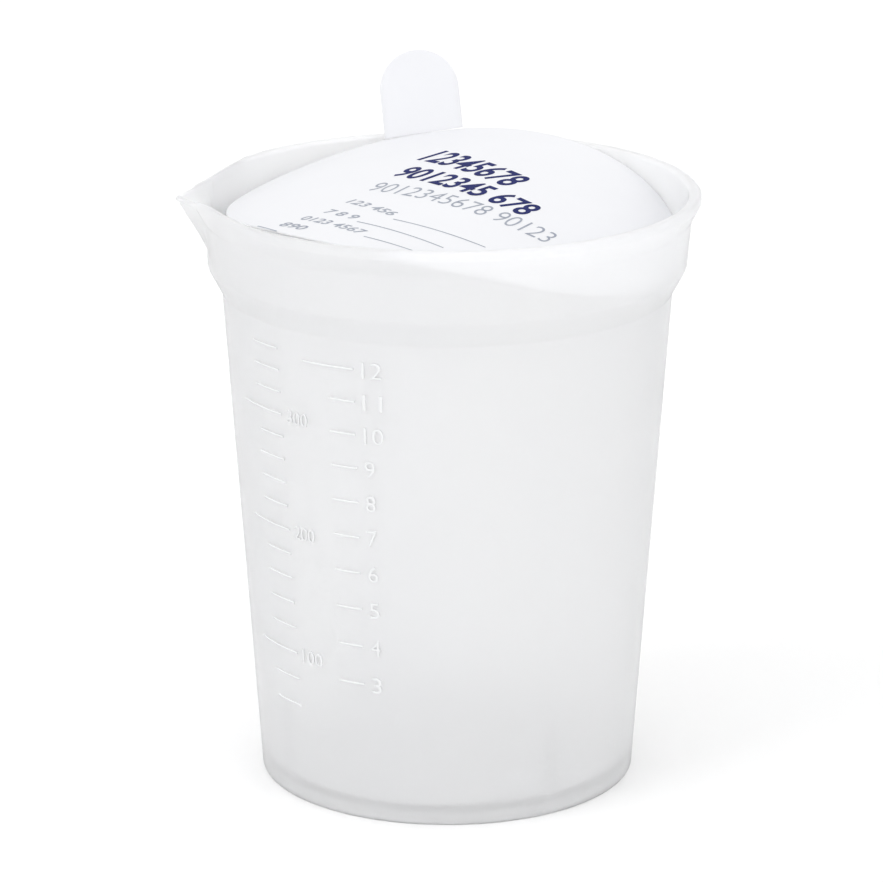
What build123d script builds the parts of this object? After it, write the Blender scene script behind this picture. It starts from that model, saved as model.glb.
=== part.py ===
from build123d import *
import os
from math import atan, cos, degrees, pi, radians, sin, sqrt, tan

# A moulded pour-spout cup with graduations, and its loose paperboard lid with a folded pull tab.
# Millimetres and degrees. The origin is the centre of the foot, and +Z runs up the cup's axis.

# Cup body
BASE_RADIUS = 34.6
BODY_LEAN = 4.0
WALL = 1.0
FLOOR_THICKNESS = 1.3
FOOT_RECESS = 1.7
FOOT_RING_WIDTH = 2.0
FOOT_BEVEL = 0.5
FLOOR_BEVEL = 1.5

# Rim, and the collar and stacking shoulder below it
RIM_HEIGHT = 110.0
COLLAR_DEPTH = 18.2
SHOULDER_RISE = 4.8
SHOULDER_STEP = 2.55
SHOULDER_ROUNDING = 2.2
SHOULDER_FOOT_ROUNDING = 1.2
COLLAR_LEAN = 5.1

# Flared lip round the mouth
LIP_OVERHANG = 1.66
LIP_DEPTH = 4.7
LIP_EDGE_HEIGHT = 1.6
LIP_TOP_ROUNDING = 0.75
LIP_UNDERCUT_ROUNDING = 3.0
MOUTH_BEVEL = 0.5

# Pour spout: a V pulled out of the collar, between two flats on the lip
SPOUT_DIRECTION = 184.0
SPOUT_OVERHANG = 3.6
SPOUT_HALF_ANGLE = 61.0
SPOUT_FOOT_DROP = 10.0
SPOUT_TOP_DROP = 0.5
SPOUT_TIP_ROUNDING = 1.3
SPOUT_WALL = 1.2
SPOUT_ROOT_DEPTH = 2.4
LIP_FLAT_STEP = 0.2
LIP_FLAT_ANGLE = 23.0
LIP_FLAT_HALF_WIDTH = 12.0

# Ribs inside the foot that keep stacked cups from jamming
RIB_COUNT = 4
RIB_FIRST_DIRECTION = -57.0
RIB_HEIGHT = 14.5
RIB_WIDTH = 1.8
RIB_PROUD = 0.8
BURIED = 0.4

# Graduations: raised bars at equal steps of volume, in fluid ounces and in millilitres,
# up to the last one that clears the shoulder
ML_PER_OUNCE = 29.5735
FIRST_OUNCE = 3
FIRST_ML = 60
ML_STEP = 20
TOP_BAR_CLEARANCE = 1.5
BAR_PROUD = 0.2
BAR_THICKNESS = 0.45
OUNCE_BAR_LENGTH = 5.0
OUNCE_LONG_BAR_LENGTH = 10.6
OUNCE_BAR_END_DIRECTION = -113.8
ML_BAR_LENGTH = 7.0
ML_LONG_BAR_LENGTH = 11.8
ML_BAR_END_DIRECTION = -137.5
ML_LONG_BAR_STEP = 100

# Paperboard lid: a flat disc bowed into an arch, low on the right and high at the back
SHEET = 0.45
LID_FIT_PLAY = 0.4
LID_EDGE_CLEARANCE = 0.75
LID_BOW_RADIUS = 99.0
LID_RIDGE_DIRECTION = 65.6
LID_RIDGE_RISE = 1.6
LID_ROLL = 6.0
LID_OUTLINE_POINTS = 24

# Pull tab, hinged on its crease at the disc's back edge
TAB_ANGLE = 33.0
TAB_WIDTH = 15.0
TAB_LENGTH = 15.8
TAB_FOLD = 77.0
TAB_SKEW = -2.8
CREASE_GAP = 0.15


# Radii, heights and volumes that follow from the sizes above

SHOULDER_HEIGHT = RIM_HEIGHT - COLLAR_DEPTH
SHOULDER_TOP = SHOULDER_HEIGHT + SHOULDER_RISE
SHOULDER_LEAN = degrees(atan(SHOULDER_STEP / SHOULDER_RISE))
FLOOR_Z = FOOT_RECESS + FLOOR_THICKNESS


def body_radius(z):
    """Outside radius of the body wall at height z."""
    return BASE_RADIUS + z * tan(radians(BODY_LEAN))


def collar_radius(z):
    """Outside radius of the collar at height z."""
    foot = body_radius(SHOULDER_HEIGHT) + SHOULDER_STEP
    return foot + (z - SHOULDER_TOP) * tan(radians(COLLAR_LEAN))


def inner_body_radius(z):
    """Inside radius of the body wall at height z."""
    return body_radius(z) - WALL / cos(radians(BODY_LEAN))


def inner_collar_radius(z):
    """Inside radius of the collar at height z."""
    return collar_radius(z) - WALL / cos(radians(COLLAR_LEAN))


def mitre(lower_lean, upper_lean):
    """Radial and vertical step from an outside corner to the inside one, one wall further in."""
    lower, upper = radians(lower_lean), radians(upper_lean)
    share = WALL / (1 + cos(upper - lower))
    return -share * (cos(lower) + cos(upper)), share * (sin(lower) + sin(upper))


LEDGE_FOOT_Z = SHOULDER_HEIGHT + mitre(BODY_LEAN, SHOULDER_LEAN)[1]
LEDGE_TOP_Z = SHOULDER_TOP + mitre(SHOULDER_LEAN, COLLAR_LEAN)[1]
LIP_UNDERSIDE = RIM_HEIGHT - LIP_DEPTH
RIM_RADIUS = collar_radius(LIP_UNDERSIDE) + LIP_OVERHANG


def ledge_radius(z):
    """Inside radius of the sloping shoulder at height z."""
    return inner_collar_radius(LEDGE_TOP_Z) - (LEDGE_TOP_Z - z) * tan(radians(SHOULDER_LEAN))


# Cup

def cup_shell():
    """Revolved wall, floor, shoulder, collar and lip, with each corner's rounding."""
    ring_inside = BASE_RADIUS - FOOT_RING_WIDTH
    corners = [
        (0, FOOT_RECESS, 0),
        (ring_inside, FOOT_RECESS, 0),
        (ring_inside, 0, 0),
        (BASE_RADIUS - FOOT_BEVEL, 0, 0),
        (body_radius(FOOT_BEVEL), FOOT_BEVEL, 0),
        (body_radius(SHOULDER_HEIGHT), SHOULDER_HEIGHT, SHOULDER_FOOT_ROUNDING),
        (collar_radius(SHOULDER_TOP), SHOULDER_TOP, SHOULDER_ROUNDING),
        (collar_radius(LIP_UNDERSIDE), LIP_UNDERSIDE, LIP_UNDERCUT_ROUNDING),
        (RIM_RADIUS, RIM_HEIGHT - LIP_EDGE_HEIGHT, LIP_TOP_ROUNDING),
        (RIM_RADIUS, RIM_HEIGHT, LIP_TOP_ROUNDING),
        (inner_collar_radius(RIM_HEIGHT) + MOUTH_BEVEL, RIM_HEIGHT, 0),
        (inner_collar_radius(RIM_HEIGHT - MOUTH_BEVEL), RIM_HEIGHT - MOUTH_BEVEL, 0),
        (inner_collar_radius(LEDGE_TOP_Z), LEDGE_TOP_Z, SHOULDER_ROUNDING - WALL),
        (inner_body_radius(LEDGE_FOOT_Z), LEDGE_FOOT_Z, SHOULDER_FOOT_ROUNDING + WALL),
        (inner_body_radius(FLOOR_Z + FLOOR_BEVEL), FLOOR_Z + FLOOR_BEVEL, 0),
        (inner_body_radius(FLOOR_Z) - FLOOR_BEVEL, FLOOR_Z, 0),
        (0, FLOOR_Z, 0),
    ]
    points = [(radius, 0, height) for radius, height, rounding in corners]
    outline = FilletPolyline(*points, radius=[corner[2] for corner in corners], close=True)
    return revolve(make_face(outline), Axis.Z)


def spout_cone(inward, rise):
    """V-section cone of the spout: its foot on the collar, moved inward, and cut off at rise."""
    foot_z = RIM_HEIGHT - SPOUT_TOP_DROP - SPOUT_FOOT_DROP
    foot_x = collar_radius(foot_z) - WALL / 2
    tip_x = RIM_RADIUS + SPOUT_OVERHANG
    root_x = collar_radius(RIM_HEIGHT) - SPOUT_ROOT_DEPTH
    scale = rise / SPOUT_FOOT_DROP
    half_width = (tip_x - root_x) * tan(radians(SPOUT_HALF_ANGLE)) * scale
    back = foot_x + (root_x - foot_x) * scale
    front = foot_x + (tip_x - foot_x) * scale
    outline = spout_outline(back, front, half_width, SPOUT_TIP_ROUNDING * scale)
    section = Pos(0, 0, foot_z + rise) * outline
    cone = loft([Vertex(foot_x, 0, foot_z), section], ruled=True)
    return Pos(-inward, 0, 0) * cone


def spout_outline(back, front, half_width, rounding):
    """Triangle of the spout in plan with its tip rounded."""
    triangle = make_face(Polyline((back, -half_width), (front, 0), (back, half_width), close=True))
    tip = triangle.vertices().sort_by(Axis.X)[-1]
    return fillet(tip, rounding)


def lip_flats():
    """Two blocks that trim the lip to flats beside the spout."""
    inset = RIM_RADIUS - collar_radius(LIP_UNDERSIDE) - LIP_FLAT_STEP
    block = Pos(RIM_RADIUS, 0, RIM_HEIGHT) * Box(2 * inset, 2 * LIP_FLAT_HALF_WIDTH, 2 * LIP_DEPTH)
    return [Rot(0, 0, side * LIP_FLAT_ANGLE) * block for side in (-1, 1)]


def stacking_rib():
    """One upright rib on the inside wall, from the floor up, with a sloping top."""
    top = FLOOR_Z + RIB_HEIGHT
    foot = FLOOR_Z - BURIED
    profile = make_face(Polyline(
        (inner_body_radius(FLOOR_Z) - RIB_PROUD, 0, foot),
        (inner_body_radius(top) - RIB_PROUD, 0, top - RIB_PROUD),
        (inner_body_radius(top) + BURIED, 0, top + BURIED),
        (inner_body_radius(FLOOR_Z) + BURIED, 0, foot),
        close=True,
    ))
    return extrude(profile, RIB_WIDTH / 2, both=True)


def fill_height(volume_ml):
    """Height of the liquid's surface in the tapered body for a volume."""
    slope = tan(radians(BODY_LEAN))
    floor_radius = inner_body_radius(FLOOR_Z)
    surface_radius = (floor_radius**3 + 3 * slope * volume_ml * 1000 / pi) ** (1 / 3)
    return FLOOR_Z + (surface_radius - floor_radius) / slope


def fill_volume(z):
    """Volume in millilitres that fills the tapered body to height z."""
    volume = inner_body_radius(z) ** 3 - inner_body_radius(FLOOR_Z) ** 3
    return pi * volume / (3 * tan(radians(BODY_LEAN)) * 1000)


def graduation_bar(volume_ml, length, end_direction):
    """Raised bar round the wall at a volume's height, ending at a direction."""
    z = fill_height(volume_ml)
    outside = body_radius(z)
    lean = BAR_THICKNESS * tan(radians(BODY_LEAN))
    profile = make_face(Polyline(
        (outside - BURIED, 0, z),
        (outside + BAR_PROUD, 0, z),
        (outside + BAR_PROUD + lean, 0, z + BAR_THICKNESS),
        (outside - BURIED, 0, z + BAR_THICKNESS),
        close=True,
    ))
    arc = degrees(length / outside)
    return Rot(0, 0, end_direction - arc) * revolve(profile, Axis.Z, revolution_arc=arc)


def graduations():
    """Both columns of bars, with longer ones at the round volumes."""
    bars = []
    capacity = fill_volume(SHOULDER_HEIGHT - TOP_BAR_CLEARANCE)
    last_ounce = int(capacity / ML_PER_OUNCE)
    for ounces in range(FIRST_OUNCE, last_ounce + 1):
        length = OUNCE_LONG_BAR_LENGTH if ounces == last_ounce else OUNCE_BAR_LENGTH
        bars.append(graduation_bar(ounces * ML_PER_OUNCE, length, OUNCE_BAR_END_DIRECTION))
    for millilitres in range(FIRST_ML, int(capacity) + 1, ML_STEP):
        length = ML_BAR_LENGTH if millilitres % ML_LONG_BAR_STEP else ML_LONG_BAR_LENGTH
        bars.append(graduation_bar(millilitres, length, ML_BAR_END_DIRECTION))
    return bars


def make_cup():
    """The whole moulding."""
    turn = Rot(0, 0, SPOUT_DIRECTION)
    cup = cup_shell()
    for block in lip_flats():
        cup -= turn * block
    cup += turn * spout_cone(0, SPOUT_FOOT_DROP)
    cup -= turn * spout_cone(SPOUT_WALL, SPOUT_FOOT_DROP + 2 * SPOUT_TOP_DROP + WALL)
    rib = stacking_rib()
    for index in range(RIB_COUNT):
        cup += Rot(0, 0, RIB_FIRST_DIRECTION + index * 360 / RIB_COUNT) * rib
    for bar in graduations():
        cup += bar
    return cup


# Lid

LID_RADIUS = inner_collar_radius(LEDGE_TOP_Z) - LID_FIT_PLAY
LID_BOW_ANGLE = LID_RADIUS / LID_BOW_RADIUS
LID_HALF_SPAN = LID_BOW_RADIUS * sin(LID_BOW_ANGLE)
LID_SAGITTA = LID_BOW_RADIUS * (1 - cos(LID_BOW_ANGLE))
LOW_EDGE_DROP = LID_HALF_SPAN * sin(radians(LID_ROLL)) + LID_SAGITTA * cos(radians(LID_ROLL))
LOW_EDGE_REACH = LID_HALF_SPAN * cos(radians(LID_ROLL)) - LID_SAGITTA * sin(radians(LID_ROLL))


def lid_location():
    """Place of the bowed lid: its low edge at the top of the shoulder, on the side it leans to."""
    shift = ledge_radius(LEDGE_TOP_Z - SHEET / 2) - LOW_EDGE_REACH - LID_EDGE_CLEARANCE
    lean_direction = radians(LID_RIDGE_DIRECTION - 90)
    centre = Pos(shift * cos(lean_direction), shift * sin(lean_direction), LEDGE_TOP_Z + LOW_EDGE_DROP)
    return centre * Rot(0, 0, LID_RIDGE_DIRECTION) * Rot(0, -LID_RIDGE_RISE, 0) * Rot(LID_ROLL, 0, 0)


def crease_location():
    """Middle of the tab's crease on the sheet's top face: X outward, Y along the crease, Z up."""
    crease_radius = sqrt(LID_RADIUS**2 - (TAB_WIDTH / 2) ** 2)
    along = crease_radius * cos(radians(TAB_ANGLE))
    slope = crease_radius * sin(radians(TAB_ANGLE)) / LID_BOW_RADIUS
    top_radius = LID_BOW_RADIUS + SHEET / 2
    place = Pos(along, top_radius * sin(slope), top_radius * cos(slope) - LID_BOW_RADIUS)
    return place * Rot(-degrees(slope), 0, 0) * Rot(0, 0, TAB_ANGLE)


def bent_outline():
    """Outline of the round disc seen straight down on its bowed sheet."""
    points = []
    for index in range(LID_OUTLINE_POINTS):
        turn = 2 * pi * index / LID_OUTLINE_POINTS
        across = LID_RADIUS * sin(turn) / LID_BOW_RADIUS
        points.append((LID_RADIUS * cos(turn), LID_BOW_RADIUS * sin(across)))
    return make_face(Spline(*points, periodic=True))


def make_lid_disc():
    """Bowed disc with its edge cut straight along the crease."""
    axis = Pos(0, 0, -LID_BOW_RADIUS) * Rot(0, 90, 0)
    length = 3 * LID_RADIUS
    sheet = Cylinder(LID_BOW_RADIUS + SHEET / 2, length) - Cylinder(LID_BOW_RADIUS - SHEET / 2, length)
    column = Pos(0, 0, -LID_SAGITTA - SHEET) * extrude(bent_outline(), LID_SAGITTA + 2 * SHEET)
    disc = (axis * sheet) & column
    beyond_crease = Pos(TAB_LENGTH / 2 - CREASE_GAP, 0, 0) * Box(TAB_LENGTH, 2 * TAB_WIDTH, TAB_LENGTH)
    return lid_location() * (disc - crease_location() * beyond_crease)


def make_lid_tab():
    """Round-ended tab, folded up about the crease line on the sheet's top face."""
    half = TAB_WIDTH / 2
    straight = TAB_LENGTH - half
    outline = ThreePointArc((straight, -half), (TAB_LENGTH, 0), (straight, half))
    outline += Polyline((straight, half), (-half, half), (-half, -half), (straight, -half))
    blank = Rot(0, 0, TAB_SKEW) * extrude(make_face(outline), -SHEET)
    behind_crease = Pos(-TAB_WIDTH, 0, 0) * Box(2 * TAB_WIDTH, 4 * TAB_WIDTH, 4 * SHEET)
    return lid_location() * crease_location() * Rot(0, -TAB_FOLD, 0) * (blank - behind_crease)


os.makedirs("parts", exist_ok=True)
for name, solid in (("cup", make_cup()), ("lid_disc", make_lid_disc()), ("lid_tab", make_lid_tab())):
    export_step(solid, f"parts/{name}.step")
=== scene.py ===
"""Looks of a moulded specimen cup with its loose, bowed paperboard lid.

Sizes of the cup and the lid are in millimetres and become metres where a mesh is made. The
studio's sizes are in metres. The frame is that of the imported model: the origin is the centre of
the foot, +Z runs up the cup's axis and the viewer stands on the -Y side.
"""
import logging
from dataclasses import dataclass, field
from enum import Enum
from math import atan, cos, degrees, pi, radians, sin, sqrt, tan

import bmesh
import bpy
import numpy as np
from mathutils import Matrix, Vector


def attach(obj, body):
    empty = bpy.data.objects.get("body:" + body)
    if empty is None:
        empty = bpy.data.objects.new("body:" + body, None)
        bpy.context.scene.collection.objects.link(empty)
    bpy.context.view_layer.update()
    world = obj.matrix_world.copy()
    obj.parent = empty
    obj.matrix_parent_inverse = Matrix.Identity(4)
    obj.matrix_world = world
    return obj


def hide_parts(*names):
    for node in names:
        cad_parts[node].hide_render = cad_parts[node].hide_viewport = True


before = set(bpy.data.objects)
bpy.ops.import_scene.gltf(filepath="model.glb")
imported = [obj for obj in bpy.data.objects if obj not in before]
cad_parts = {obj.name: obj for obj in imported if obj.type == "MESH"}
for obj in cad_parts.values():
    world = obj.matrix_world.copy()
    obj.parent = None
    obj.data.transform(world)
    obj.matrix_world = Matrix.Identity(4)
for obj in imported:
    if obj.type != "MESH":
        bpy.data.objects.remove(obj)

log = logging.getLogger("specimen_container")

MM = 0.001
ARC_STEPS = 7  # runs in each rounded corner
CROWN_STEPS = 8  # runs in each quarter of the lip's top
LONGEST_RUN = 2.0  # longest straight run of an outline, in millimetres
DIGIT_STEPS = 5  # runs in each curve of a digit
CRISP_ANGLE = 50.0  # edges that turn further than this stay crisp, in degrees
CUT_EDGE_COSINE = 0.5  # below this a face stands across the board
NOISE_LOW, NOISE_HIGH = 0.3, 0.7  # values that a noise mostly keeps between
FINE_GRAIN_SHARE = 0.35  # share of the fine grain in the relief
CUBIC_MM_PER_ML = 1000
Point = tuple[float, float, float]
Colour = tuple[float, float, float, float]


class Body(str, Enum):
    """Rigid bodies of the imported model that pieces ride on."""

    CUP = "cup"
    LID = "lid"
    TAB = "tab"


class Slot(str, Enum):
    """Material slots of the record."""

    PLASTIC = "natural_plastic"
    BOARD = "coated_board"


# Shader helpers


def shade(tree: bpy.types.NodeTree, kind: str, **values: object) -> bpy.types.Node:
    """Adds a node and sets its properties or unlinked inputs.

    Args:
        tree: The node tree that gets the node.
        kind: The node's type name, without the ShaderNode prefix.
        values: Property or input values; an underscore in an input's name stands for a space.

    Returns:
        The new node.
    """
    node = tree.nodes.new("ShaderNode" + kind)
    for name, value in values.items():
        socket = node.inputs.get(name.replace("_", " "))
        if socket is None:
            setattr(node, name, value)
        else:
            socket.default_value = value
    return node


def effect(name: str, inputs: dict[str, float], outputs: dict[str, str]) -> bpy.types.NodeTree:
    """Starts a shader node group with named sockets.

    Args:
        name: The group's name.
        inputs: Float inputs with their defaults.
        outputs: Output names with their socket types.

    Returns:
        The group, with its input and output nodes named "in" and "out".
    """
    group = bpy.data.node_groups.new(name, "ShaderNodeTree")
    for label, value in inputs.items():
        group.interface.new_socket(label, in_out="INPUT", socket_type="NodeSocketFloat").default_value = value
    for label, kind in outputs.items():
        group.interface.new_socket(label, in_out="OUTPUT", socket_type=kind)
    group.nodes.new("NodeGroupInput").name = "in"
    group.nodes.new("NodeGroupOutput").name = "out"
    return group


def layered_noise(name: str, coarse: float, fine: float) -> bpy.types.NodeTree:
    """Node group: two scales of noise on object coordinates, for tone, gloss and relief.

    Args:
        name: The group's name.
        coarse: Default size of the slow variation, in features per metre.
        fine: Default size of the fine grain, in features per metre.

    Returns:
        The group, with outputs Tone, Gloss and Normal.
    """
    group = effect(
        name,
        {"Coarse": coarse, "Fine": fine, "Stretch": 1.0, "Relief": 0.1, "Depth": 0.00002},
        {"Tone": "NodeSocketFloat", "Gloss": "NodeSocketFloat", "Normal": "NodeSocketVector"},
    )
    inward, outward = group.nodes["in"], group.nodes["out"]
    place = shade(group, "TexCoord")
    stretch = shade(group, "CombineXYZ", X=1.0, Y=1.0)
    scaled = shade(group, "VectorMath", operation="MULTIPLY")
    slow = shade(group, "TexNoise", Detail=3.0, Roughness=0.5)
    quick = shade(group, "TexNoise", Detail=5.0, Roughness=0.6)
    both = shade(group, "Math", operation="MULTIPLY_ADD")
    both.inputs[1].default_value = FINE_GRAIN_SHARE
    bump = shade(group, "Bump")
    link = group.links.new
    link(inward.outputs["Stretch"], stretch.inputs["Z"])
    link(place.outputs["Object"], scaled.inputs[0])
    link(stretch.outputs[0], scaled.inputs[1])
    link(scaled.outputs[0], slow.inputs["Vector"])
    link(scaled.outputs[0], quick.inputs["Vector"])
    link(inward.outputs["Coarse"], slow.inputs["Scale"])
    link(inward.outputs["Fine"], quick.inputs["Scale"])
    link(quick.outputs["Fac"], both.inputs[0])
    link(slow.outputs["Fac"], both.inputs[2])
    link(inward.outputs["Relief"], bump.inputs["Strength"])
    link(inward.outputs["Depth"], bump.inputs["Distance"])
    link(both.outputs[0], bump.inputs["Height"])
    link(slow.outputs["Fac"], outward.inputs["Tone"])
    link(quick.outputs["Fac"], outward.inputs["Gloss"])
    link(bump.outputs["Normal"], outward.inputs["Normal"])
    return group


def between(
    tree: bpy.types.NodeTree, source: bpy.types.NodeSocket, low: float, high: float
) -> bpy.types.NodeSocket:
    """Maps a noise output around its middle to a range of values.

    Args:
        tree: The material's node tree.
        source: The socket to map.
        low: The value at the noise's low end.
        high: The value at its high end.

    Returns:
        The mapped output socket.
    """
    node = shade(tree, "MapRange")
    limits = {"From Min": NOISE_LOW, "From Max": NOISE_HIGH, "To Min": low, "To Max": high}
    for name, value in limits.items():
        node.inputs[name].default_value = value
    tree.links.new(source, node.inputs["Value"])
    return node.outputs["Result"]


@dataclass(frozen=True)
class Finish:
    """A surface whose colour, roughness and relief vary with a shared noise group.

    Attributes:
        name: The material's name.
        deep: Colour where the tone is low.
        light: Colour where the tone is high.
        roughness: Lowest and highest roughness.
        grain: Values for the noise group's inputs.
        settings: Constant inputs of the surface shader.
    """

    name: str
    deep: Colour
    light: Colour
    roughness: tuple[float, float] = (0.4, 0.5)
    grain: dict[str, float] = field(default_factory=dict)
    settings: dict[str, float] = field(default_factory=dict)

    def make(self, noise: bpy.types.NodeTree) -> bpy.types.Material:
        """Builds the material.

        Args:
            noise: The shared noise group.

        Returns:
            The material.
        """
        material = bpy.data.materials.new(self.name)
        material.use_nodes = True
        tree = material.node_tree
        surface = tree.nodes["Principled BSDF"]
        for name, value in self.settings.items():
            surface.inputs[name].default_value = value
        grain = shade(tree, "Group", node_tree=noise)
        for name, value in self.grain.items():
            grain.inputs[name].default_value = value
        mix = shade(tree, "Mix", data_type="RGBA")
        mix.inputs[6].default_value, mix.inputs[7].default_value = self.deep, self.light
        link = tree.links.new
        link(between(tree, grain.outputs["Tone"], 0.0, 1.0), mix.inputs[0])
        link(mix.outputs[2], surface.inputs["Base Color"])
        link(between(tree, grain.outputs["Gloss"], *self.roughness), surface.inputs["Roughness"])
        link(grain.outputs["Normal"], surface.inputs["Normal"])
        return material


# Mesh helpers


def mesh_piece(
    name: str, vertices: np.ndarray, faces: list, material: bpy.types.Material
) -> bpy.types.Object:
    """Makes an object from vertices in metres, welds its doubles and turns its faces outward.

    Args:
        name: The piece's name.
        vertices: Array of points.
        faces: Lists of vertex numbers.
        material: The piece's material.

    Returns:
        The linked object.
    """
    mesh = bpy.data.meshes.new(name)
    mesh.from_pydata([tuple(map(float, point)) for point in vertices], [], faces)
    form = bmesh.new()
    form.from_mesh(mesh)
    bmesh.ops.remove_doubles(form, verts=form.verts, dist=1e-7)
    bmesh.ops.dissolve_degenerate(form, edges=form.edges, dist=1e-8)
    bmesh.ops.recalc_face_normals(form, faces=form.faces)
    form.to_mesh(mesh)
    form.free()
    mesh.materials.append(material)
    piece = bpy.data.objects.new(name, mesh)
    bpy.context.collection.objects.link(piece)
    return piece


def smooth(piece: bpy.types.Object, angle: float) -> None:
    """Shades a piece smooth, with edges sharper than an angle kept crisp.

    Args:
        piece: The object.
        angle: Limit angle in degrees.
    """
    bpy.ops.object.select_all(action="DESELECT")
    bpy.context.view_layer.objects.active = piece
    piece.select_set(True)
    bpy.ops.object.shade_smooth_by_angle(angle=radians(angle))


def seat(piece: bpy.types.Object, body: Body, slot: Slot, *replaced: str) -> None:
    """Lets a piece ride on a body and hides the CAD nodes that it replaces.

    Args:
        piece: The object.
        body: The body it rides on.
        slot: The record's material slot; not used.
        replaced: CAD nodes that it replaces.
    """
    if replaced:
        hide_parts(*replaced)
    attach(piece, body.value)
    log.info("built %s on %s", piece.name, body.value)


def turned_faces(rows: int, columns: int) -> list[tuple[int, int, int, int]]:
    """Quads of a turned form, whose columns go round and join up.

    Args:
        rows: Points along one column.
        columns: Number of columns.

    Returns:
        Vertex numbers of each quad.
    """
    quads = []
    for column in range(columns):
        here, following = column * rows, (column + 1) % columns * rows
        for row in range(rows - 1):
            quads.append((here + row, following + row, following + row + 1, here + row + 1))
    return quads


def bar_faces(loop: int, rings: int) -> list[tuple[int, ...]]:
    """Faces of a bar made of closed rings one after the other, with both ends capped.

    Args:
        loop: Points on each ring.
        rings: Number of rings.

    Returns:
        Vertex numbers of each face.
    """
    faces = []
    for first in range(0, (rings - 1) * loop, loop):
        for here in range(loop):
            following = (here + 1) % loop
            faces.append((first + here, first + following, first + loop + following, first + loop + here))
    return faces + [tuple(range(loop)), tuple(reversed(range((rings - 1) * loop, rings * loop)))]


def rounded(corners: list[tuple[float, float, float]]) -> list[tuple[float, float]]:
    """Open outline with each inner corner turned into an arc.

    Args:
        corners: Radius, height and rounding of each corner, in millimetres.

    Returns:
        Points (radius, height) in millimetres.
    """
    points = [Vector(corners[0][:2])]
    for before, here, after in zip(corners, corners[1:], corners[2:]):
        corner = Vector(here[:2])
        inward = (Vector(before[:2]) - corner).normalized()
        outward = (Vector(after[:2]) - corner).normalized()
        turn = pi - inward.angle(outward)
        if here[2] <= 0 or turn < 1e-4:
            points.append(corner)
            continue
        reach = here[2] * tan(turn / 2)
        centre = corner + (inward + outward).normalized() * (here[2] / cos(turn / 2))
        start, end = corner + inward * reach - centre, corner + outward * reach - centre
        for step in range(ARC_STEPS + 1):
            share = step / ARC_STEPS
            spoke = (start * sin((1 - share) * turn) + end * sin(share * turn)) / sin(turn)
            points.append(centre + spoke)
    points.append(Vector(corners[-1][:2]))
    dense = [points[0]]
    for point in points[1:]:
        pieces = max(1, int((point - dense[-1]).length // LONGEST_RUN))
        first = dense[-1].copy()
        dense += [first.lerp(point, (index + 1) / pieces) for index in range(pieces)]
    return [tuple(point) for point in dense]


def lettering(
    text: str, height: float, width: float, weight: float, depth: float
) -> tuple[np.ndarray, list]:
    """Mesh of plain numbers lying flat, with its left end at the origin.

    Args:
        text: Digits and spaces.
        height: Height of a digit in millimetres.
        width: Length of the whole line in millimetres.
        weight: Stroke offset as a share of the height; negative is thinner.
        depth: Half thickness in millimetres.

    Returns:
        Vertices in millimetres and their faces.
    """
    curve = bpy.data.curves.new("line", "FONT")
    curve.body = text
    curve.resolution_u = DIGIT_STEPS
    curve.offset = weight
    curve.extrude = 0.1  # any thickness, as the points are scaled to the depth below
    carrier = bpy.data.objects.new("line", curve)
    bpy.context.collection.objects.link(carrier)
    mesh = bpy.data.meshes.new_from_object(carrier.evaluated_get(bpy.context.evaluated_depsgraph_get()))
    points = np.array([vertex.co[:] for vertex in mesh.vertices])
    faces = [tuple(polygon.vertices) for polygon in mesh.polygons]
    bpy.data.objects.remove(carrier)
    bpy.data.curves.remove(curve)
    bpy.data.meshes.remove(mesh)
    low, high = points.min(axis=0), points.max(axis=0)
    points[:, 0] = (points[:, 0] - low[0]) * width / (high[0] - low[0])
    points[:, 1] = (points[:, 1] - low[1]) * height / (high[1] - low[1])
    points[:, 2] *= depth / high[2]
    return points, faces


class Pile:
    """Vertices and faces of many small closed forms that make one piece."""

    def __init__(self) -> None:
        self.vertices: list[np.ndarray] = []
        self.faces: list[tuple] = []
        self.count = 0

    def add(self, vertices: np.ndarray, faces: list) -> None:
        """Adds one form.

        Args:
            vertices: Its points, in millimetres.
            faces: Its faces, numbered from its own first point.
        """
        self.vertices.append(np.asarray(vertices, float))
        self.faces += [tuple(index + self.count for index in face) for face in faces]
        self.count += len(vertices)

    def piece(self, name: str, material: bpy.types.Material) -> bpy.types.Object:
        """Makes the piece.

        Args:
            name: Its name.
            material: Its material.

        Returns:
            The linked object.
        """
        return mesh_piece(name, np.concatenate(self.vertices) * MM, self.faces, material)


# Cup


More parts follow.
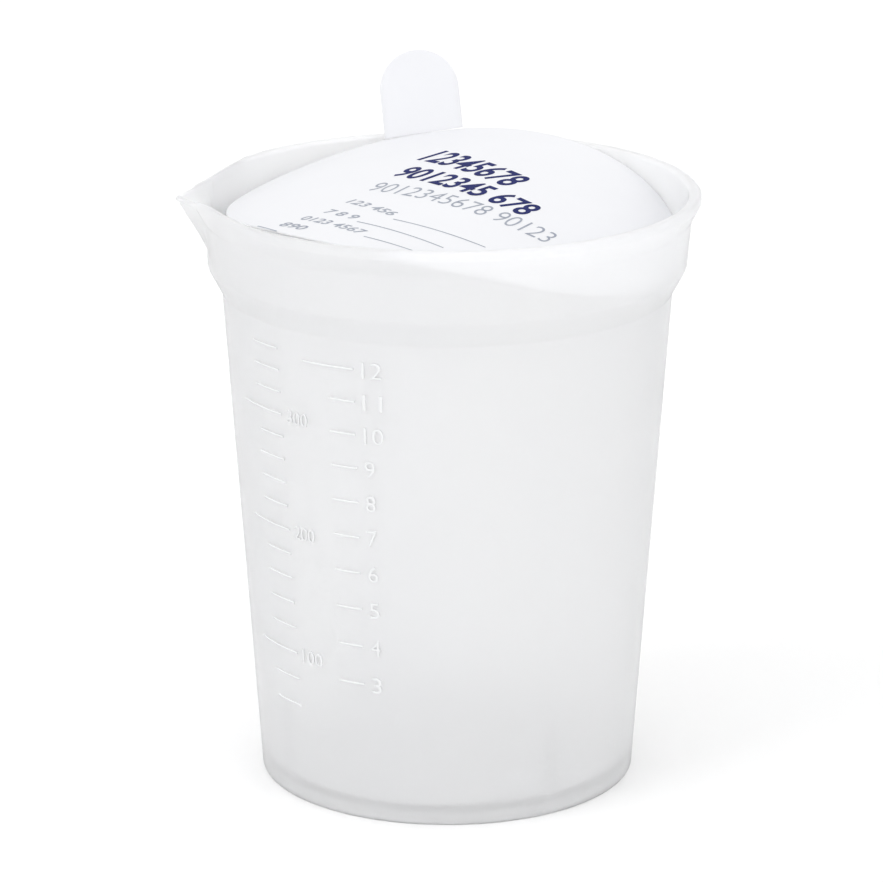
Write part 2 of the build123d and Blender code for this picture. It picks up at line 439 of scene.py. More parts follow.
@dataclass(frozen=True)
class CupSizes:
    """Driving sizes of the moulded cup, in millimetres and degrees."""

    base_radius: float = 34.6
    body_lean: float = 4.0
    wall: float = 1.0
    floor_thickness: float = 1.3
    foot_recess: float = 1.7
    foot_ring_width: float = 2.0
    foot_edge_rounding: float = 0.5
    recess_rounding: float = 0.6
    floor_rounding: float = 2.0
    shoulder_height: float = 91.8
    shoulder_rise: float = 4.8
    shoulder_step: float = 2.55
    shoulder_rounding: float = 2.2
    shoulder_foot_rounding: float = 1.2
    collar_lean: float = 5.1
    rim_height: float = 110.0
    lip_overhang: float = 1.66
    lip_depth: float = 4.7
    lip_edge_height: float = 1.6
    lip_top_rounding: float = 0.75
    lip_undercut_rounding: float = 3.0
    lip_flat_angle: float = 23.0
    lip_flat_inset: float = 0.2

    @property
    def body_slope(self) -> float:
        """Tangent of the body's lean."""
        return tan(radians(self.body_lean))

    @property
    def shoulder_lean(self) -> float:
        """Lean of the stacking shoulder in degrees."""
        return degrees(atan(self.shoulder_step / self.shoulder_rise))

    @property
    def shoulder_top(self) -> float:
        """Height where the shoulder meets the collar."""
        return self.shoulder_height + self.shoulder_rise

    @property
    def floor_z(self) -> float:
        """Height of the inside floor."""
        return self.foot_recess + self.floor_thickness

    @property
    def lip_underside(self) -> float:
        """Height where the lip leaves the collar."""
        return self.rim_height - self.lip_depth

    @property
    def rim_radius(self) -> float:
        """Outside radius of the lip."""
        return self.collar(self.lip_underside) + self.lip_overhang

    @property
    def ledge_foot(self) -> float:
        """Height of the shoulder's lower inside corner."""
        return self.shoulder_height + self.mitre(self.body_lean, self.shoulder_lean)

    @property
    def ledge_top(self) -> float:
        """Height of the shoulder's upper inside corner."""
        return self.shoulder_top + self.mitre(self.shoulder_lean, self.collar_lean)

    def mitre(self, lower: float, upper: float) -> float:
        """Rise from an outside corner to the inside one.

        Args:
            lower: Lean of the wall below, in degrees.
            upper: Lean of the wall above, in degrees.

        Returns:
            The rise in millimetres.
        """
        low, high = radians(lower), radians(upper)
        return self.wall * (sin(low) + sin(high)) / (1 + cos(high - low))

    def body(self, z: float) -> float:
        """Outside radius of the body at a height."""
        return self.base_radius + z * self.body_slope

    def inner_body(self, z: float) -> float:
        """Inside radius of the body at a height."""
        return self.body(z) - self.wall / cos(radians(self.body_lean))

    def collar(self, z: float) -> float:
        """Outside radius of the collar at a height."""
        foot = self.body(self.shoulder_height) + self.shoulder_step
        return foot + (z - self.shoulder_top) * tan(radians(self.collar_lean))

    def inner_collar(self, z: float) -> float:
        """Inside radius of the collar at a height."""
        return self.collar(z) - self.wall / cos(radians(self.collar_lean))

    def fill_height(self, volume_ml: float) -> float:
        """Height of the liquid's surface.

        Args:
            volume_ml: Volume of the liquid in millilitres.

        Returns:
            The height in millimetres.
        """
        floor = self.inner_body(self.floor_z)
        surface = (floor**3 + 3 * self.body_slope * volume_ml * CUBIC_MM_PER_ML / pi) ** (1 / 3)
        return self.floor_z + (surface - floor) / self.body_slope


@dataclass(frozen=True)
class Spout:
    """The pour spout: a V pulled out of the collar, in millimetres and degrees.

    Attributes:
        soft: Softness of the keel, as a share of the radius.
        blend: How far from the face the lip starts to follow it.
        drop_reach: Reach past the lip over which its top comes down to the spout's.
        sector: How far to each side of its direction the spout and the flats shape the wall.
    """

    direction: float = 184.0
    sector: float = 45.0
    overhang: float = 3.6
    half_angle: float = 61.0
    foot_drop: float = 10.0
    top_drop: float = 0.5
    wall: float = 1.2
    soft: float = 0.01
    blend: float = 0.6
    drop_reach: float = 0.8

    def reach(self, cup: CupSizes, z: np.ndarray, off: np.ndarray, inward: float) -> np.ndarray:
        """Radius of the V's face in a direction, or zero below its foot.

        Args:
            cup: The cup's sizes.
            z: Heights.
            off: Angle from the spout's own direction, in radians.
            inward: How far the face is moved towards the axis.

        Returns:
            The radius at each height.
        """
        foot_z = cup.rim_height - self.top_drop - self.foot_drop
        foot = cup.collar(foot_z) - cup.wall / 2
        tip = cup.rim_radius + self.overhang
        share = (z - foot_z) / self.foot_drop
        front = foot + (tip - foot) * share - inward
        sideways = np.sqrt(sin(off) ** 2 + (self.soft * np.clip(share, 0, 1)) ** 2)
        spread = abs(cos(off)) + sideways / tan(radians(self.half_angle))
        return np.where(share > 0, front / spread, 0.0)


@dataclass(frozen=True)
class CupWall:
    """The cup's wall, floor, shoulder, collar, lip and spout as one closed surface.

    Attributes:
        fine_step: Degrees between two columns near the spout.
        coarse_step: Degrees between two columns elsewhere.
        fine_reach: How far to each side of the spout the fine columns go, in degrees.
        crown_share: Largest rounding of the lip's top, as a share of its thickness.
    """

    sizes: CupSizes = CupSizes()
    spout: Spout = Spout()
    fine_step: float = 0.3
    coarse_step: float = 1.25
    fine_reach: float = 24.0
    crown_share: float = 0.49

    def directions(self) -> list[float]:
        """Directions of the mesh columns, closer together round the spout.

        Returns:
            The directions in degrees.
        """
        found, angle = [], -180.0
        while angle < 179.999:
            found.append(angle + self.spout.direction)
            angle += self.fine_step if abs(angle) < self.fine_reach else self.coarse_step
        return found

    def outer_line(self) -> np.ndarray:
        """Outside outline from the middle of the recess to the lip's edge.

        Returns:
            Points (radius, height).
        """
        s = self.sizes
        ring = s.base_radius - s.foot_ring_width
        return np.array(rounded([
            (0, s.foot_recess, 0),
            (ring, s.foot_recess, s.recess_rounding),
            (ring, 0, s.foot_edge_rounding),
            (s.base_radius, 0, s.foot_edge_rounding),
            (s.body(s.shoulder_height), s.shoulder_height, s.shoulder_foot_rounding),
            (s.collar(s.shoulder_top), s.shoulder_top, s.shoulder_rounding),
            (s.collar(s.lip_underside), s.lip_underside, s.lip_undercut_rounding),
            (s.rim_radius, s.rim_height - s.lip_edge_height, s.lip_top_rounding),
            (s.rim_radius, s.rim_height - s.lip_top_rounding, 0),
        ]))

    def inner_line(self) -> np.ndarray:
        """Inside outline from the top of the collar to the middle of the floor.

        Returns:
            Points (radius, height).
        """
        s = self.sizes
        return np.array(rounded([
            (s.inner_collar(s.rim_height - s.lip_top_rounding), s.rim_height - s.lip_top_rounding, 0),
            (s.inner_collar(s.ledge_top), s.ledge_top, s.shoulder_rounding - s.wall),
            (s.inner_body(s.ledge_foot), s.ledge_foot, s.shoulder_foot_rounding + s.wall),
            (s.inner_body(s.floor_z), s.floor_z, s.floor_rounding),
            (0, s.floor_z, 0),
        ]))

    def flat_reach(self, off: float) -> float:
        """Radius of the lip's flats beside the spout.

        Args:
            off: Angle from the spout's own direction, in radians.

        Returns:
            The radius.
        """
        s = self.sizes
        distance = s.collar(s.lip_underside) + s.lip_flat_inset
        reach = s.rim_radius + self.spout.overhang
        for side in (-1, 1):
            turn = off - side * radians(s.lip_flat_angle)
            if abs(turn) < radians(self.spout.sector):
                reach = min(reach, distance / cos(turn))
        return reach

    def column(self, direction: float, outer: np.ndarray, inner: np.ndarray) -> np.ndarray:
        """Section of the wall in one direction.

        Args:
            direction: Direction in degrees.
            outer: Outside outline before the spout and flats.
            inner: Inside outline before the spout.

        Returns:
            Points (x, y, z) in millimetres.
        """
        s, spout = self.sizes, self.spout
        off = (radians(direction - spout.direction) + pi) % (2 * pi) - pi
        out_r, out_z = outer[:, 0].copy(), outer[:, 1]
        in_r, in_z = inner[:, 0].copy(), inner[:, 1]
        drop = 0.0
        if abs(off) < radians(spout.sector):
            out_r = np.minimum(out_r, self.flat_reach(off))
            plain = out_r[-1]
            face = spout.reach(s, np.minimum(out_z, s.rim_height - spout.top_drop), off, 0.0)
            trough = spout.reach(s, in_z, off, spout.wall)
            bridge = np.sqrt((out_r - face) ** 2 + spout.blend**2) - spout.blend
            out_r = np.where(face > 0, (out_r + face + bridge) / 2, out_r)
            out_r = np.maximum(out_r, face)
            in_r = np.maximum(in_r, trough)
            rise = min(1.0, max(0.0, (out_r[-1] - plain) / spout.drop_reach))
            drop = spout.top_drop * rise * rise * (3 - 2 * rise)
        crown = self.crown(out_r[-1], in_r[0], s.rim_height - drop)
        out_z = np.minimum(out_z, crown[0, 1])
        in_z = np.minimum(in_z, crown[-1, 1])
        line = np.concatenate([np.stack([out_r, out_z], 1), crown, np.stack([in_r, in_z], 1)])
        turn = radians(direction)
        return np.stack([line[:, 0] * cos(turn), line[:, 0] * sin(turn), line[:, 1]], 1)

    def crown(self, outside: float, inside: float, top: float) -> np.ndarray:
        """Rounded top of the lip.

        Args:
            outside: Radius of the lip's outside.
            inside: Radius of its inside.
            top: Height of its top.

        Returns:
            Points (radius, height) from the outside to the inside.
        """
        half = min(self.sizes.lip_top_rounding, self.crown_share * (outside - inside))
        turns = [step * pi / 2 / CROWN_STEPS for step in range(CROWN_STEPS + 1)]
        rise = [(outside - half + half * cos(turn), top - half + half * sin(turn)) for turn in turns]
        fall = [(inside + half - half * cos(turn), top - half + half * sin(turn)) for turn in reversed(turns)]
        return np.array(rise + fall)

    def build(self, material: bpy.types.Material) -> bpy.types.Object:
        """Builds the wall.

        Args:
            material: The moulding's material.

        Returns:
            The piece.
        """
        outer, inner = self.outer_line(), self.inner_line()
        columns = [self.column(direction, outer, inner) for direction in self.directions()]
        faces = turned_faces(len(columns[0]), len(columns))
        piece = mesh_piece("moulded_cup_wall", np.concatenate(columns) * MM, faces, material)
        smooth(piece, CRISP_ANGLE)
        seat(piece, Body.CUP, Slot.PLASTIC, "cup")
        return piece


@dataclass(frozen=True)
class Graduations:
    """Raised bars and numbers at equal steps of volume, in millimetres and degrees."""

    sizes: CupSizes = CupSizes()
    ml_per_ounce: float = 29.5735
    ounces: tuple[int, ...] = tuple(range(3, 13))
    millilitres: tuple[int, ...] = tuple(range(60, 361, 20))
    bar_proud: float = 0.2
    bar_thickness: float = 0.45
    ounce_bar: float = 5.0
    ounce_long_bar: float = 10.6
    ounce_bar_end: float = -113.8
    ml_bar: float = 7.0
    ml_long_bar: float = 11.8
    ml_bar_end: float = -137.5
    long_ml_step: int = 100
    bar_edge: float = 0.1
    bar_columns: int = 9
    number_start: float = 2.2
    number_pitch: float = 0.62
    ounce_number_height: float = 3.0
    ml_number_height: float = 2.6
    buried: float = 0.25

    def bar(self, z: float, length: float, end: float) -> tuple[np.ndarray, list]:
        """One raised bar with a softened face.

        Args:
            z: Height of its lower edge.
            length: Its length.
            end: Direction of its right end, in degrees.

        Returns:
            Points and their faces.
        """
        s = self.sizes
        radius = s.body(z)
        low, high, edge = -self.buried, self.bar_proud, self.bar_edge
        line = [
            (low, 0), (high - edge, 0), (high, edge), (high, self.bar_thickness - edge),
            (high - edge, self.bar_thickness), (low, self.bar_thickness),
        ]
        points = []
        for step in range(self.bar_columns):
            turn = radians(end) - (length / radius) * (1 - step / (self.bar_columns - 1))
            for out, up in line:
                reach = radius + out + up * s.body_slope
                points.append((reach * cos(turn), reach * sin(turn), z + up))
        return np.array(points), bar_faces(len(line), self.bar_columns)

    def wrap(self, flat: np.ndarray, z: float, start: float) -> np.ndarray:
        """Lays flat numbers on the tapered body.

        Args:
            flat: Points of the numbers.
            z: Height of their middle.
            start: Direction of their left end, in degrees.

        Returns:
            The points on the body.
        """
        s = self.sizes
        middle = flat[:, 1].max() / 2
        height = z + (flat[:, 1] - middle) * cos(radians(s.body_lean))
        reach = s.body(0) + height * s.body_slope
        turn = radians(start) + flat[:, 0] / s.body(z)
        out = reach + flat[:, 2]
        return np.stack([out * np.cos(turn), out * np.sin(turn), height], 1)

    def build(self, material: bpy.types.Material) -> None:
        """Builds both columns of bars and their numbers.

        Args:
            material: The marks' material, a darker opaque copy of the moulding's plastic whose darker colour
                is painted shade.
        """
        bars, numbers = Pile(), Pile()
        for ounce in self.ounces:
            z = self.sizes.fill_height(ounce * self.ml_per_ounce)
            length = self.ounce_long_bar if ounce == self.ounces[-1] else self.ounce_bar
            bars.add(*self.bar(z, length, self.ounce_bar_end))
            self.number(numbers, str(ounce), z, self.ounce_bar_end, self.ounce_number_height)
        for volume in self.millilitres:
            z = self.sizes.fill_height(volume)
            round_volume = volume % self.long_ml_step == 0
            bars.add(*self.bar(z, self.ml_long_bar if round_volume else self.ml_bar, self.ml_bar_end))
            if round_volume:
                self.number(numbers, str(volume), z, self.ml_bar_end, self.ml_number_height)
        for name, pile in (("graduation_bars", bars), ("graduation_numbers", numbers)):
            seat(pile.piece(name, material), Body.CUP, Slot.PLASTIC)

    def number(self, pile: Pile, text: str, z: float, end: float, height: float) -> None:
        """Adds one raised number to the right of its bar.

        Args:
            pile: The pile that gets the number.
            text: Its digits.
            z: Height of the bar's lower edge.
            end: Direction of the bar's right end, in degrees.
            height: Height of a digit.
        """
        width = self.number_pitch * height * len(text)
        points, faces = lettering(text, height, width, 0.0, self.bar_proud)
        pile.add(self.wrap(points, z + self.bar_thickness / 2, end + self.number_start), faces)


@dataclass(frozen=True)
class StackingRibs:
    """Upright ribs on the inside wall that keep nested cups from jamming."""

    sizes: CupSizes = CupSizes()
    count: int = 4
    first: float = -57.0
    height: float = 14.5
    width: float = 1.8
    proud: float = 0.8
    top_proud: float = 0.25
    top_rise: float = 0.2
    edge: float = 0.35
    buried: float = 0.4
    crisp_angle: float = 40.0

    def build(self, material: bpy.types.Material) -> None:
        """Builds the ribs with bevelled inner edges.

        Args:
            material: The moulding's material.
        """
        s, pile = self.sizes, Pile()
        foot, top = s.floor_z - self.buried, s.floor_z + self.height
        half, edge = self.width / 2, self.edge
        levels = (
            (foot, self.proud), (top - self.proud, self.proud),
            (top, self.top_proud), (top + self.top_rise, -self.buried),
        )
        for index in range(self.count):
            turn = radians(self.first + index * 360 / self.count)
            points = []
            for z, proud in levels:
                back = s.inner_body(z) + self.buried
                face = s.inner_body(z) - proud
                ring = (
                    (back, -half), (face + edge, -half), (face, edge - half),
                    (face, half - edge), (face + edge, half), (back, half),
                )
                for reach, side in ring:
                    x, y = min(reach, back), side
                    points.append((x * cos(turn) - y * sin(turn), x * sin(turn) + y * cos(turn), z))
            pile.add(np.array(points), bar_faces(len(ring), len(levels)))
        piece = pile.piece("stacking_ribs", material)
        smooth(piece, self.crisp_angle)
        seat(piece, Body.CUP, Slot.PLASTIC)


# Lid


@dataclass(frozen=True)
class LidSizes:
    """The bowed disc and its place in the collar, in millimetres and degrees."""

    cup: CupSizes = CupSizes()
    sheet: float = 0.45
    fit_play: float = 0.4
    edge_clearance: float = 0.75
    bow_radius: float = 99.0
    ridge_direction: float = 65.6
    ridge_rise: float = 1.6
    roll: float = 6.0
    tab_angle: float = 33.0
    tab_width: float = 15.0
    tab_length: float = 15.8
    tab_fold: float = 77.0
    tab_skew: float = -2.8
    crease_gap: float = 0.15

    @property
    def radius(self) -> float:
        """Radius of the flat disc."""
        return self.cup.inner_collar(self.cup.ledge_top) - self.fit_play

    @property
    def crease_radius(self) -> float:
        """Distance of the crease from the disc's middle."""
        return sqrt(self.radius**2 - (self.tab_width / 2) ** 2)

    def place(self) -> Matrix:
        """Frame of the lid, with X along the ridge, Y across it and Z up.

        Returns:
            The frame, whose origin is the middle of the disc.
        """
        angle, roll = self.radius / self.bow_radius, radians(self.roll)
        span, sagitta = self.bow_radius * sin(angle), self.bow_radius * (1 - cos(angle))
        drop = span * sin(roll) + sagitta * cos(roll)
        reach = span * cos(roll) - sagitta * sin(roll)
        ledge = self.cup.inner_collar(self.cup.ledge_top)
        ledge -= self.sheet / 2 * tan(radians(self.cup.shoulder_lean))
        shift = ledge - reach - self.edge_clearance
        lean = radians(self.ridge_direction - 90)
        centre = Vector((shift * cos(lean), shift * sin(lean), self.cup.ledge_top + drop))
        turn = Matrix.Rotation(radians(self.ridge_direction), 4, "Z")
        rise = Matrix.Rotation(radians(-self.ridge_rise), 4, "Y")
        return Matrix.Translation(centre) @ turn @ rise @ Matrix.Rotation(roll, 4, "X")

    def crease(self) -> Matrix:
        """Frame of the crease inside the lid's frame, with X outward, Y along it and Z up.

        Returns:
            The frame, whose origin is the middle of the crease on the board's top.
        """
        angle = radians(self.tab_angle)
        slope = self.crease_radius * sin(angle) / self.bow_radius
        top = self.bow_radius + self.sheet / 2
        spot = Vector((self.crease_radius * cos(angle), top * sin(slope), top * cos(slope) - self.bow_radius))
        return Matrix.Translation(spot) @ Matrix.Rotation(-slope, 4, "X") @ Matrix.Rotation(angle, 4, "Z")

    def bend(self, along: np.ndarray, across: np.ndarray, lift: np.ndarray) -> np.ndarray:
        """Bows places on the flat disc into the arch.

        Args:
            along: Places along the ridge.
            across: Places across it.
            lift: Heights off the middle of the sheet.

        Returns:
            Points in the lid's frame.
        """
        turn = across / self.bow_radius
        reach = self.bow_radius + lift
        return np.stack([along, reach * np.sin(turn), reach * np.cos(turn) - self.bow_radius], 1)


def moved(points: np.ndarray, place: Matrix) -> np.ndarray:
    """Moves an array of points to a place."""
    matrix = np.array(place)
    return points @ matrix[:3, :3].T + matrix[:3, 3]


def dress_cut_edge(piece: bpy.types.Object, place: Matrix, edge: bpy.types.Material) -> None:
    """Gives the faces that stand across the board their own material.

    Args:
        piece: A piece of board.
        place: The piece's frame, with Z off the board's face.
        edge: Material of the cut edge.
    """
    piece.data.materials.append(edge)
    up = (place.to_3x3() @ Vector((0, 0, 1))).normalized()
    for polygon in piece.data.polygons:
        if abs(polygon.normal.dot(up)) < CUT_EDGE_COSINE:
            polygon.material_index = 1


@dataclass(frozen=True)
class LidDisc:
    """The die-cut disc with pressed edges, bowed into an arch."""

    sizes: LidSizes = LidSizes()
    rings: int = 40
    columns: int = 360
    edge_press: float = 0.12

    def build(self, face: bpy.types.Material, edge: bpy.types.Material) -> None:
        """Builds the disc.

        Args:
            face: Material of the coated faces.
            edge: Material of the cut edge.
        """
        s = self.sizes
        half = s.sheet / 2
        shares = [sqrt(ring / self.rings) for ring in range(self.rings)]
        press = self.edge_press
        edge_line = [(1.0, half), (1.0, half - press), (1.0, 0.0), (1.0, press - half), (1.0, -half)]
        line = [(share, half) for share in shares] + edge_line
        line += [(share, -half) for share in reversed(shares)]
        inset = [0.0] * self.rings + [press, 0.0, 0.0, 0.0, press] + [0.0] * self.rings
        columns = []
        for column in range(self.columns):
            turn = 2 * pi * column / self.columns
            reach = s.radius
            off = cos(turn - radians(s.tab_angle))
            if off > 0:
                reach = min(reach, (s.crease_radius - s.crease_gap) / off)
            radius = np.array([share * reach - gap for (share, _), gap in zip(line, inset)])
            radius = np.maximum(radius, 0.0)
            lift = np.array([height for _, height in line])
            columns.append(s.bend(radius * cos(turn), radius * sin(turn), lift))
        points = moved(np.concatenate(columns), s.place()) * MM
        piece = mesh_piece("lid_board", points, turned_faces(len(line), self.columns), face)
        dress_cut_edge(piece, s.place(), edge)
        smooth(piece, CRISP_ANGLE)
        seat(piece, Body.LID, Slot.BOARD, "lid_disc")


@dataclass(frozen=True)
class PullTab:
    """The tab folded up at its crease, with a pressed edge."""

    sizes: LidSizes = LidSizes()
    straight_steps: int = 12
    round_steps: int = 36
    lanes: int = 12
    tip_half_width: float = 0.02
    edge_press: float = 0.12

    def half_width(self, along: float) -> float:
        """Half the tab's width.

        Args:
            along: Distance from the crease.

        Returns:
            The half width there.
        """
        half = self.sizes.tab_width / 2
        straight = self.sizes.tab_length - half
        if along <= straight:
            return half
        return sqrt(max(half**2 - (along - straight) ** 2, 0.0))

    def build(self, face: bpy.types.Material, edge: bpy.types.Material) -> None:
        """Builds the tab.

        Args:
            face: Material of the coated faces.
            edge: Material of the cut edge.
        """
        s = self.sizes
        half = s.tab_width / 2
        straight = s.tab_length - half
        along = [straight * step / self.straight_steps for step in range(self.straight_steps)]
        quarter = [pi / 2 * step / self.round_steps for step in range(self.round_steps + 1)]
        along += [straight + half * sin(turn) for turn in quarter]
        skew = radians(s.tab_skew)
        rows = []
        for x in along:
            width = max(self.half_width(x), self.tip_half_width)
            press = min(self.edge_press, width / 2)
            flat = width - press
            lanes = [-flat + 2 * flat * lane / self.lanes for lane in range(self.lanes + 1)]
            ring = [(y, 0.0) for y in lanes] + [(width, -press), (width, press - s.sheet)]
            ring += [(y, -s.sheet) for y in reversed(lanes)] + [(-width, press - s.sheet), (-width, -press)]
            rows.append([(x if rows else y * tan(skew), y, z) for y, z in ring])
        points = np.array([point for row in rows for point in row])
        fold = Matrix.Rotation(radians(-s.tab_fold), 4, "Y")
        place = s.place() @ s.crease() @ fold @ Matrix.Rotation(skew, 4, "Z")
        faces = bar_faces(len(rows[0]), len(rows))
        piece = mesh_piece("pull_tab_board", moved(points, place) * MM, faces, face)
        dress_cut_edge(piece, place, edge)
        smooth(piece, CRISP_ANGLE)
        seat(piece, Body.TAB, Slot.BOARD, "lid_tab")


@dataclass(frozen=True)
class PrintedRow:
    """One row of plain print on the lid, in millimetres on the flat disc.

    Attributes:
        start: Where its base line starts.
        end: Where its base line ends.
        height: Height of its digits, or of the rule.
        text: Its digits; a rule has none.
        weight: Stroke offset as a share of the height; negative is thinner.
    """

    start: tuple[float, float]
    end: tuple[float, float]
    height: float
    text: str = ""
    weight: float = 0.0


@dataclass(frozen=True)
class LidPrint:
    """Plain numbers and ruled lines printed on the lid."""

    sizes: LidSizes = LidSizes()
    lift: float = 0.03
    ink: float = 0.01
    rule_points: int = 13
    bold: tuple[PrintedRow, ...] = (
        PrintedRow((14.0, 14.7), (7.2, -6.0), 8.4, "12345678", 0.02),
        PrintedRow((2.15, 14.5), (-4.0, -14.4), 7.6, "9012345 678", 0.02),
    )
    light: tuple[PrintedRow, ...] = (
        PrintedRow((-8.6, 14.2), (-11.1, -22.4), 5.8, "9012345678 90123", -0.012),
    )
    small: tuple[PrintedRow, ...] = (
        PrintedRow((-17.5, 14.1), (-21.8, 3.3), 2.6, "123 456", 0.01),
        PrintedRow((-24.9, 15.1), (-27.2, 8.1), 2.6, "7 8 9", 0.01),
        PrintedRow((-30.1, 17.2), (-34.5, 3.4), 2.6, "0123 4567", 0.01),
        PrintedRow((-34.7, 19.1), (-36.75, 13.6), 2.6, "890", 0.01),
    )
    rules: tuple[PrintedRow, ...] = (
        PrintedRow((-23.45, 1.9), (-23.6, -16.2), 0.3),
        PrintedRow((-28.2, 6.7), (-30.5, -11.1), 0.3),
        PrintedRow((-35.4, 2.0), (-36.3, -9.0), 0.3),
        PrintedRow((-35.15, 22.9), (-38.5, 17.5), 0.3),
    )

    def lay(self, flat: np.ndarray, row: PrintedRow) -> np.ndarray:
        """Places flat print on the bowed sheet along a row's base line.

        Args:
            flat: Points of the print, drawn along X.
            row: The row.

        Returns:
            The points on the sheet.
        """
        run = Vector(row.end) - Vector(row.start)
        ahead = run.normalized()
        up = Vector((-ahead.y, ahead.x))
        along = row.start[0] + flat[:, 0] * ahead.x + flat[:, 1] * up.x
        across = row.start[1] + flat[:, 0] * ahead.y + flat[:, 1] * up.y
        lift = self.sizes.sheet / 2 + self.lift + flat[:, 2]
        return moved(self.sizes.bend(along, across, lift), self.sizes.place())

    def rule(self, row: PrintedRow) -> tuple[np.ndarray, list]:
        """Thin closed strip as long as a row.

        Args:
            row: The row.

        Returns:
            Points, drawn along X, and their faces.
        """
        length = (Vector(row.end) - Vector(row.start)).length
        section = ((0, -self.ink), (row.height, -self.ink), (row.height, self.ink), (0, self.ink))
        stations = [length * step / (self.rule_points - 1) for step in range(self.rule_points)]
        points = [(x, y, z) for x in stations for y, z in section]
        return np.array(points), bar_faces(len(section), self.rule_points)

    def build(self, navy: bpy.types.Material, grey: bpy.types.Material) -> None:
        """Builds the print.

        Args:
            navy: Ink of the bold rows.
            grey: Ink of the light rows and rules.
        """
        numbers = (("bold_numbers", self.bold, navy), ("light_numbers", self.light + self.small, grey))
        for name, rows, colour in numbers:
            pile = Pile()
            for row in rows:
                length = (Vector(row.end) - Vector(row.start)).length
                points, faces = lettering(row.text, row.height, length, row.weight, self.ink)
                pile.add(self.lay(points, row), faces)
            seat(pile.piece(name, colour), Body.LID, Slot.BOARD)
        pile = Pile()
        for row in self.rules:
            points, faces = self.rule(row)
            pile.add(self.lay(points, row), faces)
        seat(pile.piece("ruled_lines", grey), Body.LID, Slot.BOARD)


# Studio


@dataclass(frozen=True)
class SoftLight:
    """A square soft light aimed at a point."""

    name: str
    place: Point
    size: float
    energy: float
    target: Point = (0.0, 0.0, 0.06)

    def build(self) -> None:
        """Adds the light."""
        lamp = bpy.data.lights.new(self.name, "AREA")
        lamp.size, lamp.energy = self.size, self.energy
        holder = bpy.data.objects.new(self.name, lamp)
        aim = Vector(self.target) - Vector(self.place)
        turn = aim.to_track_quat("-Z", "Y").to_matrix().to_4x4()
        holder.matrix_world = Matrix.Translation(self.place) @ turn
        bpy.context.collection.objects.link(holder)


@dataclass(frozen=True)
class Studio:
    """White sweep, soft light and the camera at the photograph's viewing angle."""

    camera_place: Point = (0.0, -0.78656, 0.30458)
    camera_turn: Point = (72.866, 0.0, 0.078)
    lens: float = 182.05
    sensor: float = 36.0
    floor_reach: float = 2.5
    backdrop: float = 1.0
    ambient: float = 1.0
    lights: tuple[SoftLight, ...] = (
        SoftLight("key_light", (-1.8, -1.2, 2.6), 1.6, 18.5),
        SoftLight("fill_light", (2.0, -1.6, 1.6), 1.6, 7.6),
        SoftLight("low_front_light", (0.3, -1.5, 0.12), 0.6, 1.2, (0.0, 0.0, 0.02)),
    )

    def camera(self) -> None:
        """Adds the camera and makes it the scene's own."""
        lens = bpy.data.cameras.new("photo_camera")
        lens.lens, lens.sensor_width = self.lens, self.sensor
        lens.clip_start, lens.clip_end = 0.01, 20.0
        holder = bpy.data.objects.new("photo_camera", lens)
        holder.location = self.camera_place
        holder.rotation_euler = [radians(angle) for angle in self.camera_turn]
        bpy.context.collection.objects.link(holder)
        bpy.context.scene.camera = holder

    def world(self) -> None:
        """White surroundings: full white where the camera or a reflection sees them."""
        world = bpy.data.worlds.new("white_surroundings")
        bpy.context.scene.world = world
        world.use_nodes = True
        tree = world.node_tree
        tree.nodes.clear()
        path = shade(tree, "LightPath")
        seen = shade(tree, "Math", operation="MAXIMUM")
        direct = shade(tree, "Math", operation="MAXIMUM")
        dim = shade(tree, "Background", Color=(1.0, 1.0, 1.0, 1.0), Strength=self.ambient)
        plain = shade(tree, "Background", Color=(1.0, 1.0, 1.0, 1.0), Strength=self.backdrop)
        mix = shade(tree, "MixShader")
        out = shade(tree, "OutputWorld")
        link = tree.links.new
        link(path.outputs["Is Camera Ray"], seen.inputs[0])
        link(path.outputs["Is Glossy Ray"], seen.inputs[1])
        link(seen.outputs[0], direct.inputs[0])
        link(path.outputs["Is Transmission Ray"], direct.inputs[1])
        link(direct.outputs[0], mix.inputs[0])
        link(dim.outputs[0], mix.inputs[1])
        link(plain.outputs[0], mix.inputs[2])
        link(mix.outputs[0], out.inputs["Surface"])

    def floor(self, material: bpy.types.Material) -> None:
        """Adds a wide, plain floor under the foot.

        Args:
            material: The floor's material.
        """
        reach = self.floor_reach
        corners = ((-reach, -reach, 0.0), (reach, -reach, 0.0), (reach, reach, 0.0), (-reach, reach, 0.0))
        sweep = mesh_piece("studio_floor", np.array(corners), [(0, 1, 2, 3)], material)

    def build(self, material: bpy.types.Material) -> None:
        """Builds the whole studio.

        Args:
            material: The floor's material.
        """
        bpy.context.scene.view_settings.view_transform = "Standard"
        self.camera()
        self.world()
        self.floor(material)
        for light in self.lights:
            light.build()


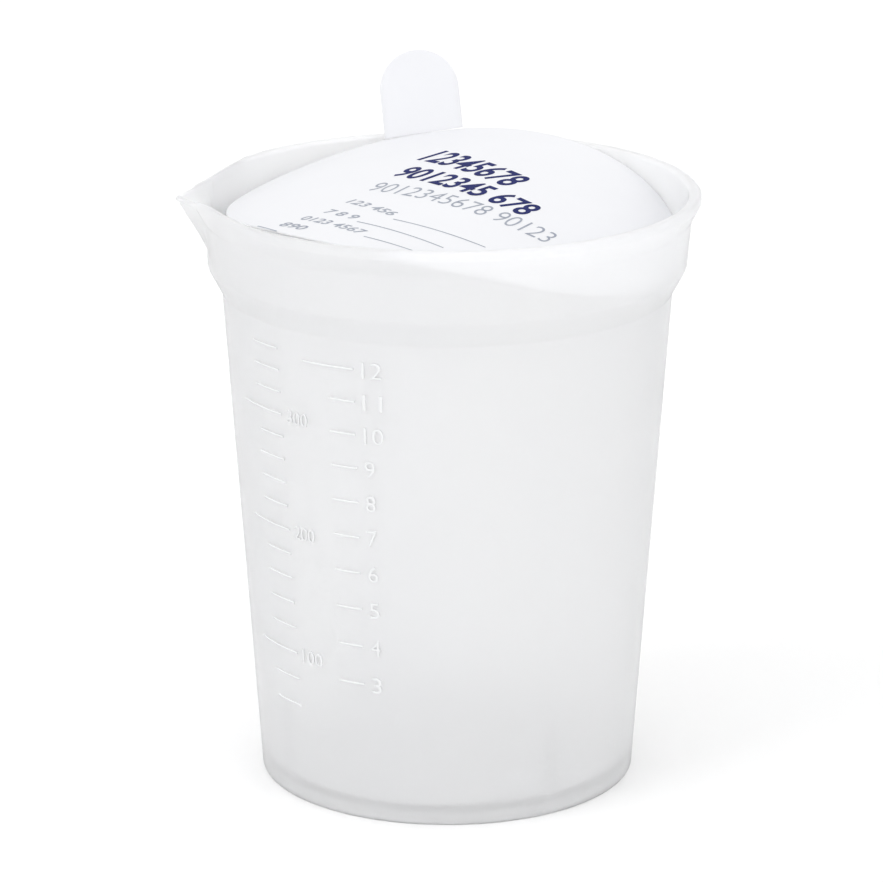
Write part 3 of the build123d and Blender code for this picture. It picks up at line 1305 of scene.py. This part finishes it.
POLYPROPYLENE = Finish(
    "natural_polypropylene",
    (0.975, 0.978, 0.988, 1.0), (0.988, 0.99, 0.995, 1.0), (0.40, 0.50),
    {"Coarse": 30.0, "Fine": 900.0, "Stretch": 0.35, "Relief": 0.12, "Depth": 0.00002},
    {"Transmission Weight": 0.55, "IOR": 1.24},
)
# Painted shade: the bars and numbers are the cup's own plastic, made here as an opaque copy in a darker
# colour so that they show as faint darker lines on the wall.
RAISED_MARKS_PAINTED_SHADE = Finish(
    "raised_marks_painted_shade",
    (0.76, 0.765, 0.775, 1.0), (0.78, 0.785, 0.795, 1.0), (0.42, 0.52),
    {"Coarse": 60.0, "Fine": 1500.0, "Relief": 0.08, "Depth": 0.00001},
    {"IOR": 1.3},
)
BOARD = Finish(
    "coated_board",
    (0.795, 0.80, 0.825, 1.0), (0.81, 0.815, 0.84, 1.0), (0.42, 0.55),
    {"Coarse": 60.0, "Fine": 2600.0, "Stretch": 1.0, "Relief": 0.1, "Depth": 0.00001},
)
CUT_EDGE = Finish(
    "cut_board_edge",
    (0.78, 0.78, 0.78, 1.0), (0.86, 0.86, 0.86, 1.0), (0.8, 0.95),
    {"Coarse": 900.0, "Fine": 5000.0, "Stretch": 1.0, "Relief": 0.5, "Depth": 0.00002},
)
NAVY_INK = Finish(
    "navy_ink",
    (0.006, 0.011, 0.10, 1.0), (0.01, 0.017, 0.13, 1.0), (0.5, 0.6),
    {"Coarse": 300.0, "Fine": 4000.0, "Relief": 0.05, "Depth": 0.000005},
    {"IOR": 1.18},
)
GREY_INK = Finish(
    "grey_ink",
    (0.26, 0.29, 0.36, 1.0), (0.34, 0.37, 0.43, 1.0), (0.4, 0.5),
    {"Coarse": 300.0, "Fine": 4000.0, "Relief": 0.05, "Depth": 0.000005},
)
FLOOR = Finish(
    "pale_floor",
    (0.985, 0.985, 0.985, 1.0), (0.99, 0.99, 0.99, 1.0), (0.7, 0.8),
    {"Coarse": 3.0, "Fine": 300.0, "Relief": 0.02, "Depth": 0.00002},
)


def main() -> None:
    """Builds the studio and every piece."""
    logging.basicConfig(level=logging.INFO)
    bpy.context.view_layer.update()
    noise = layered_noise("surface_grain", 30.0, 900.0)
    plastic, marks, board, edge, navy, grey, floor = (
        finish.make(noise)
        for finish in (POLYPROPYLENE, RAISED_MARKS_PAINTED_SHADE, BOARD, CUT_EDGE, NAVY_INK, GREY_INK, FLOOR)
    )
    Studio().build(floor)
    CupWall().build(plastic)
    Graduations().build(marks)
    StackingRibs().build(plastic)
    LidDisc().build(board, edge)
    PullTab().build(board, edge)
    LidPrint().build(navy, grey)


if __name__ == "__main__":
    main()
